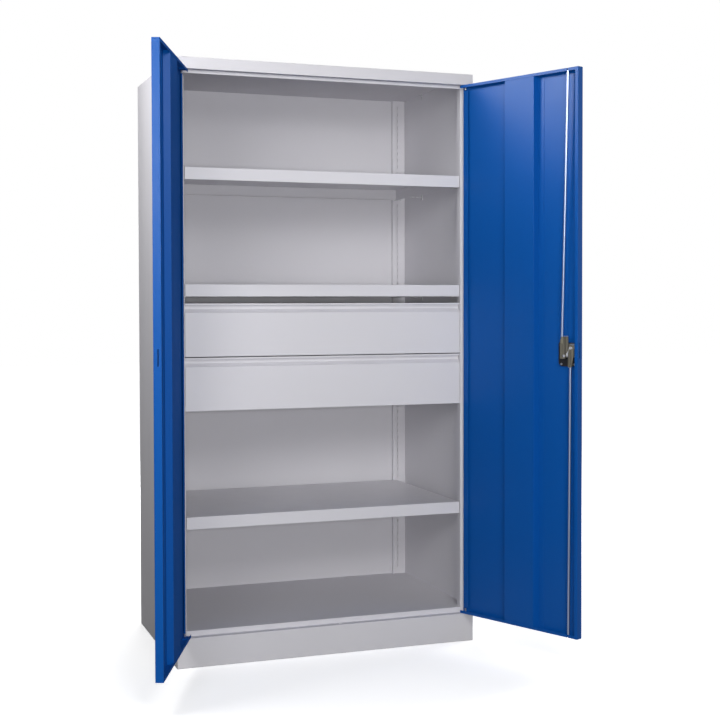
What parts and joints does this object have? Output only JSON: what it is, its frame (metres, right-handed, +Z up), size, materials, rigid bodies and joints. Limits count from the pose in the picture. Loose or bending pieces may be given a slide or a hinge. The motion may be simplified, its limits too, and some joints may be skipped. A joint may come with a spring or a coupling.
{
  "type": "heavy-duty storage cabinet",
  "caption": "Tall grey steel storage cabinet with blue double doors standing open, plain shelves, wide flush drawers and a rod lock with a round turn grip.",
  "frame": {"origin": "middle of the closed cabinet's footprint, on the floor", "axes": "+Z up from the floor, -Y out of the front where the doors open, +X to the right as seen from the front"},
  "size_m": [1.3679, 1.0989, 1.95],
  "materials": {
    "body_paint": "powder coat, satin",
    "door_paint": "powder coat, satin",
    "zinc_plate": "bright zinc plate",
    "rod_steel": "bright plated",
    "black_plastic": "fine matte grain",
    "cylinder_metal": "nickel plated"
  },
  "bodies": {
    "cabinet": {"left_side_panel": "body_paint", "right_side_panel": "body_paint", "roof_panel": "body_paint", "back_panel": "body_paint", "plinth_front": "body_paint", "plinth_rear": "body_paint", "floor_panel": "body_paint", "front_upright_left": "body_paint", "front_upright_right": "body_paint", "rear_upright_left": "body_paint", "rear_upright_right": "body_paint", "hinge_pins": "zinc_plate", "hinge_washers": "zinc_plate", "shelf_upper": "body_paint", "shelf_middle": "body_paint", "shelf_lower": "body_paint", "shelf_clips_upper": "zinc_plate", "shelf_clips_middle": "zinc_plate", "shelf_clips_lower": "zinc_plate", "shelf_side_clips": "zinc_plate", "roof_clips": "zinc_plate", "upper_runner_rails": "zinc_plate", "lower_runner_rails": "zinc_plate", "runner_brackets": "zinc_plate"},
    "left_door": {"left_door_skin": "door_paint", "left_door_stiffener": "door_paint", "left_door_hinge_plates": "door_paint"},
    "right_door": {"right_door_skin": "door_paint", "right_door_stiffener": "door_paint", "right_door_hinge_plates": "door_paint", "lock_case": "black_plastic", "lock_case_screws": "zinc_plate", "handle_escutcheon": "black_plastic"},
    "handle": {"handle_grip": "black_plastic", "lock_cylinder": "cylinder_metal", "lock_cam": "zinc_plate", "cam_screw": "zinc_plate"},
    "key_plug": {"lock_plug": "cylinder_metal"},
    "upper_rod": {"upper_lock_rod": "rod_steel"},
    "lower_rod": {"lower_lock_rod": "rod_steel"},
    "latch": {"latch_bolt": "zinc_plate"},
    "upper_drawer": {"upper_drawer_front": "body_paint", "upper_drawer_tray": "body_paint", "upper_drawer_channels": "zinc_plate"},
    "upper_runner_mids": {"upper_runner_mid_channels": "zinc_plate"},
    "lower_drawer": {"lower_drawer_front": "body_paint", "lower_drawer_tray": "body_paint", "lower_drawer_channels": "zinc_plate"},
    "lower_runner_mids": {"lower_runner_mid_channels": "zinc_plate"}
  },
  "joints": [
    {"name": "left_door_hinge", "type": "hinge", "parent": "cabinet", "child": "left_door", "pos_m": [-0.4925, -0.315, 1.0045], "axis": [0, 0, -1], "range_deg": [-111.35, 8.65]},
    {"name": "right_door_hinge", "type": "hinge", "parent": "cabinet", "child": "right_door", "pos_m": [0.4925, -0.315, 1.0045], "axis": [0, 0, 1], "range_deg": [-113.48, 6.52]},
    {"name": "handle_turn", "type": "hinge", "parent": "right_door", "child": "handle", "pos_m": [0.67538, -0.72345, 1.0115], "axis": [-0.9172, -0.3984, 0], "range_deg": [-90, 0]},
    {"name": "key_turn", "type": "hinge", "parent": "handle", "child": "key_plug", "pos_m": [0.67538, -0.72345, 1.0115], "axis": [-0.9172, -0.3984, 0], "range_deg": [-90, 0]},
    {"name": "upper_rod_slide", "type": "slide", "parent": "right_door", "child": "upper_rod", "axis": [0.0103, -0.0237, 0.9997], "range_m": [0, 0.02546]},
    {"name": "lower_rod_slide", "type": "slide", "parent": "right_door", "child": "lower_rod", "axis": [-0.0027, 0.0062, -1], "range_m": [0, 0.02546]},
    {"name": "latch_slide", "type": "slide", "parent": "right_door", "child": "latch", "axis": [0.3984, -0.9172, 0], "range_m": [0, 0.01414]},
    {"name": "upper_drawer_slide", "type": "slide", "parent": "cabinet", "child": "upper_drawer", "axis": [0, -1, 0], "range_m": [0, 0.5]},
    {"name": "upper_mid_slide", "type": "slide", "parent": "cabinet", "child": "upper_runner_mids", "axis": [0, -1, 0], "range_m": [0, 0.25]},
    {"name": "lower_drawer_slide", "type": "slide", "parent": "cabinet", "child": "lower_drawer", "axis": [0, -1, 0], "range_m": [0, 0.5]},
    {"name": "lower_mid_slide", "type": "slide", "parent": "cabinet", "child": "lower_runner_mids", "axis": [0, -1, 0], "range_m": [0, 0.25]}
  ],
  "couplings": [
    {"joint": "handle_turn", "follows": "upper_rod_slide", "rad_per_m": -61.705},
    {"joint": "lower_rod_slide", "follows": "upper_rod_slide", "ratio": 1},
    {"joint": "latch_slide", "follows": "upper_rod_slide", "ratio": 0.55555},
    {"joint": "upper_mid_slide", "follows": "upper_drawer_slide", "ratio": 0.5},
    {"joint": "lower_mid_slide", "follows": "lower_drawer_slide", "ratio": 0.5}
  ]
}
